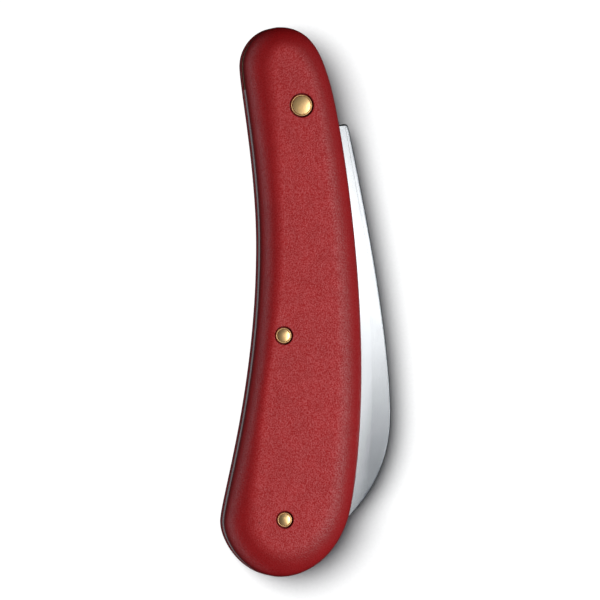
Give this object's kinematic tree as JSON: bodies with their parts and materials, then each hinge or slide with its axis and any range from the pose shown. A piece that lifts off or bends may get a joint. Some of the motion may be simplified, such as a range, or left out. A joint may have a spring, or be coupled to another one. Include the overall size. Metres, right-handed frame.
{
  "type": "folding garden knife",
  "caption": "Folding garden knife, closed: curved red plastic scales with brass rivets, a slip-joint back spring, and a polished hooked blade whose spine stands out of the slot.",
  "frame": {"origin": "on the table plane, under the middle of the closed knife's plan box, in the plane of the rear scale's flat face", "axes": "+Y along the knife towards the pivot end, +X towards the side where the blade's spine stands out, +Z from the rear flat face to the front one"},
  "size_m": [0.034, 0.11, 0.015],
  "materials": {
    "handle_plastic": "finely grained moulded plastic, satin",
    "blade_steel": "polished, with a faint grind along the blade",
    "spring_steel": "ground bright on the back",
    "rivet_brass": "polished domed heads",
    "liner_brass": "satin sheet"
  },
  "bodies": {
    "handle": {"front_scale": "handle_plastic", "rear_scale": "handle_plastic", "front_liner": "liner_brass", "rear_liner": "liner_brass", "back_spring_tail": "spring_steel", "pivot_rivet": "rivet_brass", "spring_rivet": "rivet_brass", "tail_rivet": "rivet_brass", "front_pivot_washer": "rivet_brass", "front_spring_washer": "rivet_brass", "front_tail_washer": "rivet_brass", "rear_pivot_washer": "rivet_brass", "rear_spring_washer": "rivet_brass", "rear_tail_washer": "rivet_brass"},
    "blade": {"blade": "blade_steel"},
    "spring_arm": {"back_spring_arm": "spring_steel"}
  },
  "joints": [
    {"name": "blade_pivot", "type": "hinge", "parent": "handle", "child": "blade", "pos_m": [-0.002, 0.0393, 0.0075], "axis": [0, 0, 1], "range_deg": [0, 180]},
    {"name": "spring_flex", "type": "hinge", "parent": "handle", "child": "spring_arm", "pos_m": [-0.00775, 0, 0.0075], "axis": [0, 0, 1], "range_deg": [0, 1.1], "stiffness_Nm_per_rad": 0.5}
  ]
}
